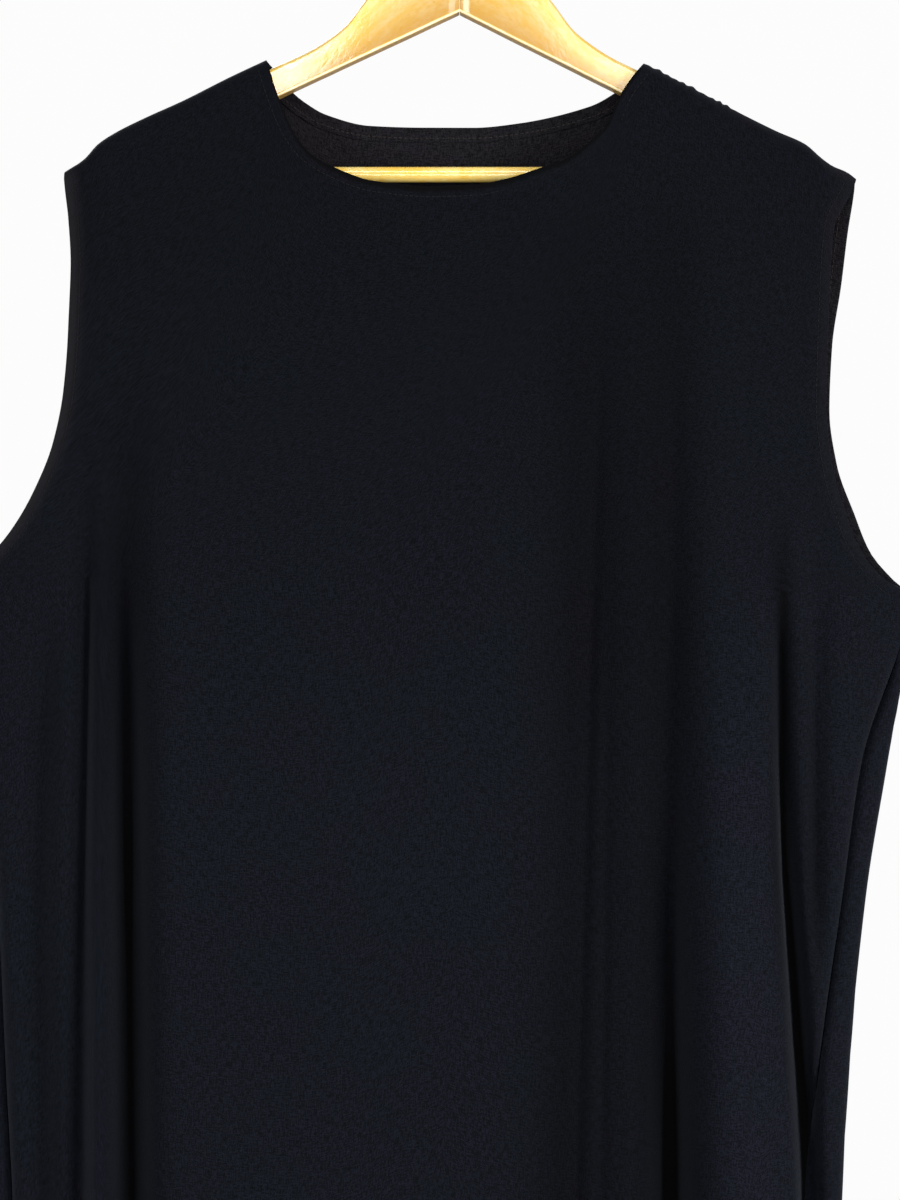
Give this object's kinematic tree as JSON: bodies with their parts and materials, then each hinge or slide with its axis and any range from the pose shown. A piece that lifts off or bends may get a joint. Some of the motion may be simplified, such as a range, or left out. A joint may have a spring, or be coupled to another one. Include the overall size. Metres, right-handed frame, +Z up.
{
  "type": "sleeveless dress on a wooden hanger",
  "caption": "Sleeveless A-line midi dress in dark crepe with a round neck, hanging in soft folds from a wooden hanger with a trouser bar and a steel hook.",
  "frame": {"origin": "inside top of the hanger's hook, where a rod holds it", "axes": "+Z up, the front of the dress faces -Y, +X to the right as the front is looked at"},
  "size_m": [0.5302, 0.0881, 1.2789],
  "materials": {
    "crepe": "matt fine crepe with a slight sheen",
    "facing": "matt inside of the crepe",
    "maple": "clear varnish",
    "steel": "plated wire"
  },
  "bodies": {
    "root": {"front": "crepe", "back": "crepe", "neck_facing_front": "facing", "neck_facing_back": "facing", "armhole_facing_left_front": "facing", "armhole_facing_left_back": "facing", "armhole_facing_right_front": "facing", "armhole_facing_right_back": "facing", "hanger_arm_left": "maple", "hanger_arm_right": "maple", "hanger_bar": "maple", "hanger_hook": "steel"}
  },
  "joints": []
}
